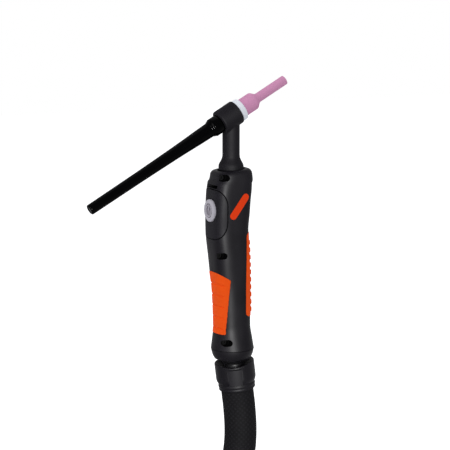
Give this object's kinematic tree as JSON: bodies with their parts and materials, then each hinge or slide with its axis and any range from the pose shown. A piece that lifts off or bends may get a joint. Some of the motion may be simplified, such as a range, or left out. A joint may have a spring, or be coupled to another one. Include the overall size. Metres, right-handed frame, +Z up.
{
  "type": "tig torch",
  "caption": "Hand-held gas tungsten arc welding torch: angled head with ceramic nozzle and long back cap, grip with push button, ball-jointed cable ending in a central plug.",
  "frame": {"origin": "on the handle's axis, at the middle of the grip, where the hand closes round it", "axes": "+Z up along the handle to the head; +X to the side on which the nozzle points; -X is the side of the push button and the back cap; +Y completes the right-handed frame, and the handle's halves part on y = 0"},
  "size_m": [0.3692, 0.3654, 0.4633],
  "materials": {
    "black_plastic": "fine moulded grain, satin",
    "panel_plastic": "smooth satin",
    "cap_plastic": "polished",
    "soft_grip": "soft orange rubber, finely grained",
    "label_orange": "smooth satin",
    "button_grey": "satin",
    "ceramic_pink": "unglazed fired alumina",
    "ring_white": "smooth, slightly waxy",
    "brass": "turned",
    "copper": "drawn and turned copper",
    "tungsten": "ground",
    "steel": "turned",
    "dark_metal": "blackened, knurled",
    "cable_sheath": "woven and rubbered sheath",
    "lead_rubber": "smooth",
    "strap_fabric": "woven hook-and-loop strap"
  },
  "bodies": {
    "torch": {"torch_core": "brass", "head_cover": "black_plastic", "neck_tube": "copper", "lead_coupler": "brass", "insulator_ring": "ring_white", "collet_body": "copper", "collet": "copper", "shell_left": "black_plastic", "shell_right": "black_plastic", "front_grip": "soft_grip", "rear_grip": "soft_grip", "label_plate": "label_orange", "switch_panel": "panel_plastic", "microswitch": "panel_plastic", "control_lead": "lead_rubber", "power_cable": "lead_rubber", "shell_screws": "steel"},
    "push_button": {"button": "button_grey", "switch_plunger": "ring_white"},
    "cap_slide": {"cap_seal": "lead_rubber"},
    "cap": {"back_cap": "cap_plastic"},
    "gas_nozzle": {"nozzle": "ceramic_pink"},
    "tungsten": {"electrode": "tungsten"},
    "cable": {"cable_drop": "cable_sheath", "cable_coil": "cable_sheath", "cable_ties": "strap_fabric", "plug_boot": "lead_rubber", "plug_shell_left": "black_plastic", "plug_shell_right": "black_plastic", "plug_screws": "steel", "plug_body": "panel_plastic", "plug_pin": "brass", "plug_contacts": "brass", "plug_seal": "lead_rubber"},
    "knuckle": {"knuckle_ball": "black_plastic", "cuff_left": "black_plastic", "cuff_right": "black_plastic", "cuff_clip": "panel_plastic"},
    "coupling_nut": {"plug_nut": "dark_metal"}
  },
  "joints": [
    {"name": "button_press", "type": "slide", "parent": "torch", "child": "push_button", "axis": [1, 0, 0], "range_m": [0, 0.0015], "stiffness_N_per_m": 800, "springref_m": -0.001},
    {"name": "cap_travel", "type": "slide", "parent": "torch", "child": "cap_slide", "axis": [-0.8746, 0, -0.4848], "range_m": [0, 0.005]},
    {"name": "cap_turn", "type": "hinge", "parent": "cap_slide", "child": "cap", "pos_m": [-0.01032, 0, 0.12368], "axis": [-0.8746, 0, -0.4848], "range_deg": [0, 1801]},
    {"name": "nozzle_unscrew", "type": "slide", "parent": "torch", "child": "gas_nozzle", "axis": [0.8746, 0, 0.4848], "range_m": [0, 0.007]},
    {"name": "electrode_feed", "type": "slide", "parent": "torch", "child": "tungsten", "axis": [0.8746, 0, 0.4848], "range_m": [0, 0.01]},
    {"name": "cable_turn", "type": "hinge", "parent": "torch", "child": "cable", "pos_m": [0.0019, 0, -0.07], "axis": [0, 0, 1], "continuous": true},
    {"name": "cuff_tilt", "type": "hinge", "parent": "cable", "child": "knuckle", "pos_m": [0.0019, 0, -0.07], "axis": [0, 1, 0], "range_deg": [-7.7, 22.3], "deforming": ["cable_drop", "power_cable", "control_lead"]},
    {"name": "nut_turn", "type": "hinge", "parent": "cable", "child": "coupling_nut", "pos_m": [-0.2798, 0, -0.2839], "axis": [-1, 0, 0], "continuous": true}
  ],
  "couplings": [
    {"joint": "cap_turn", "follows": "cap_travel", "rad_per_m": 6283.2}
  ]
}
